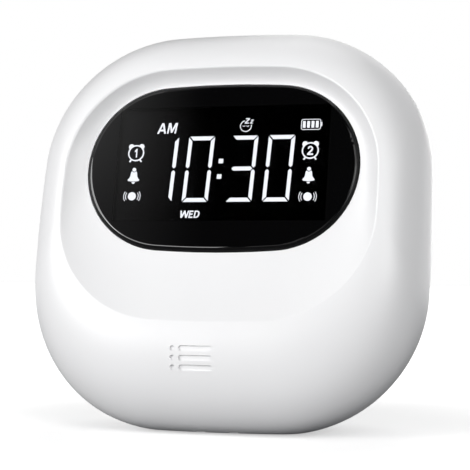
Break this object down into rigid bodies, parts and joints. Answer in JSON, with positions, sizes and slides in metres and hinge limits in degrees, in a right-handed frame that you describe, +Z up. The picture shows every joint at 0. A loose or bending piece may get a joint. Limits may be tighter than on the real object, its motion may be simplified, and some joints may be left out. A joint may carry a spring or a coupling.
{
  "type": "bed shaker alarm clock",
  "caption": "Rounded-square bedside vibrating alarm clock that leans back on a flat base, with an oval lit display in a dished front and buttons on the back.",
  "frame": {"origin": "centre of the rubber pad's underside, where the clock stands", "axes": "+X to the right seen from the front, -Y out of the face, +Z up"},
  "size_m": [0.088, 0.0388, 0.0872],
  "materials": {
    "case_white": "satin moulded, very fine grain",
    "lens_black": "polished, dark tinted",
    "film_black": "printed film",
    "holder_black": "moulded",
    "panel_glass": "polished glass laminate",
    "lit_white": "lit diffusing film",
    "guide_clear": "clear, polished",
    "contact_silicone": "layered silicone",
    "board_green": "solder mask",
    "chip_black": "moulded epoxy",
    "screw_steel": "zinc plated",
    "can_steel": "nickel plated, pressed",
    "battery_foil": "laminated foil",
    "foam_grey": "closed-cell foam tape",
    "cone_film": "pressed film",
    "magnet_dark": "sintered",
    "cap_white": "moulded",
    "terminal_brass": "stamped",
    "weight_brass": "machined",
    "sleeve_rubber": "moulded",
    "key_white": "satin moulded",
    "pad_rubber": "moulded, grooved"
  },
  "bodies": {
    "root": {"front_shell": "case_white", "back_cover": "case_white", "display_lens": "lens_black", "lens_mask": "film_black", "display_holder": "holder_black", "display_panel": "panel_glass", "lit_time_bars": "lit_white", "light_guide": "guide_clear", "upper_contact_strip": "contact_silicone", "lower_contact_strip": "contact_silicone", "main_board": "board_green", "board_screws": "screw_steel", "key_board_screws": "screw_steel", "strap_screw": "screw_steel", "socket_board_screws": "screw_steel", "case_screws": "screw_steel", "controller_chip": "chip_black", "motor_driver_chip": "chip_black", "crystal": "can_steel", "battery_cell": "battery_foil", "battery_foam": "foam_grey", "speaker_basket": "can_steel", "speaker_cone": "cone_film", "speaker_magnet": "magnet_dark", "motor_can": "can_steel", "motor_end_cap": "cap_white", "motor_terminals": "terminal_brass", "motor_bushes": "terminal_brass", "motor_magnets": "magnet_dark", "motor_sleeve": "sleeve_rubber", "motor_strap": "can_steel", "button_board": "board_green", "mode_switch": "can_steel", "charging_socket": "can_steel", "socket_tongue": "chip_black", "socket_board": "board_green", "base_pad": "pad_rubber", "alarm_1_switch": "can_steel", "time_set_switch": "can_steel", "alarm_2_switch": "can_steel", "up_switch": "can_steel", "snooze_switch": "can_steel", "down_switch": "can_steel"},
    "rotor": {"motor_shaft": "can_steel", "eccentric_weight": "weight_brass", "motor_armature": "magnet_dark"},
    "mode_knob": {"mode_slider": "key_white"},
    "alarm_1_key": {"alarm_1_button": "key_white", "alarm_1_plunger": "chip_black"},
    "time_set_key": {"time_set_button": "key_white", "time_set_plunger": "chip_black"},
    "alarm_2_key": {"alarm_2_button": "key_white", "alarm_2_plunger": "chip_black"},
    "up_key": {"up_button": "key_white", "up_plunger": "chip_black"},
    "snooze_key": {"snooze_button": "key_white", "snooze_plunger": "chip_black"},
    "down_key": {"down_button": "key_white", "down_plunger": "chip_black"}
  },
  "joints": [
    {"name": "rotor_spin", "type": "hinge", "parent": "root", "child": "rotor", "pos_m": [-0.0125, 0.0045, 0.0141], "axis": [1, 0, 0], "continuous": true},
    {"name": "alarm_1_press", "type": "slide", "parent": "root", "child": "alarm_1_key", "axis": [0, -1, 0], "range_m": [0, 0.0005], "stiffness_N_per_m": 3000, "springref_m": -0.0001},
    {"name": "time_set_press", "type": "slide", "parent": "root", "child": "time_set_key", "axis": [0, -1, 0], "range_m": [0, 0.0005], "stiffness_N_per_m": 3000, "springref_m": -0.0001},
    {"name": "alarm_2_press", "type": "slide", "parent": "root", "child": "alarm_2_key", "axis": [0, -1, 0], "range_m": [0, 0.0005], "stiffness_N_per_m": 3000, "springref_m": -0.0001},
    {"name": "up_press", "type": "slide", "parent": "root", "child": "up_key", "axis": [0, -1, 0], "range_m": [0, 0.0005], "stiffness_N_per_m": 3000, "springref_m": -0.0001},
    {"name": "snooze_press", "type": "slide", "parent": "root", "child": "snooze_key", "axis": [0, -1, 0], "range_m": [0, 0.0005], "stiffness_N_per_m": 3000, "springref_m": -0.0001},
    {"name": "down_press", "type": "slide", "parent": "root", "child": "down_key", "axis": [0, -1, 0], "range_m": [0, 0.0005], "stiffness_N_per_m": 3000, "springref_m": -0.0001},
    {"name": "mode_slide", "type": "slide", "parent": "root", "child": "mode_knob", "axis": [1, 0, 0], "range_m": [0, 0.004]}
  ]
}
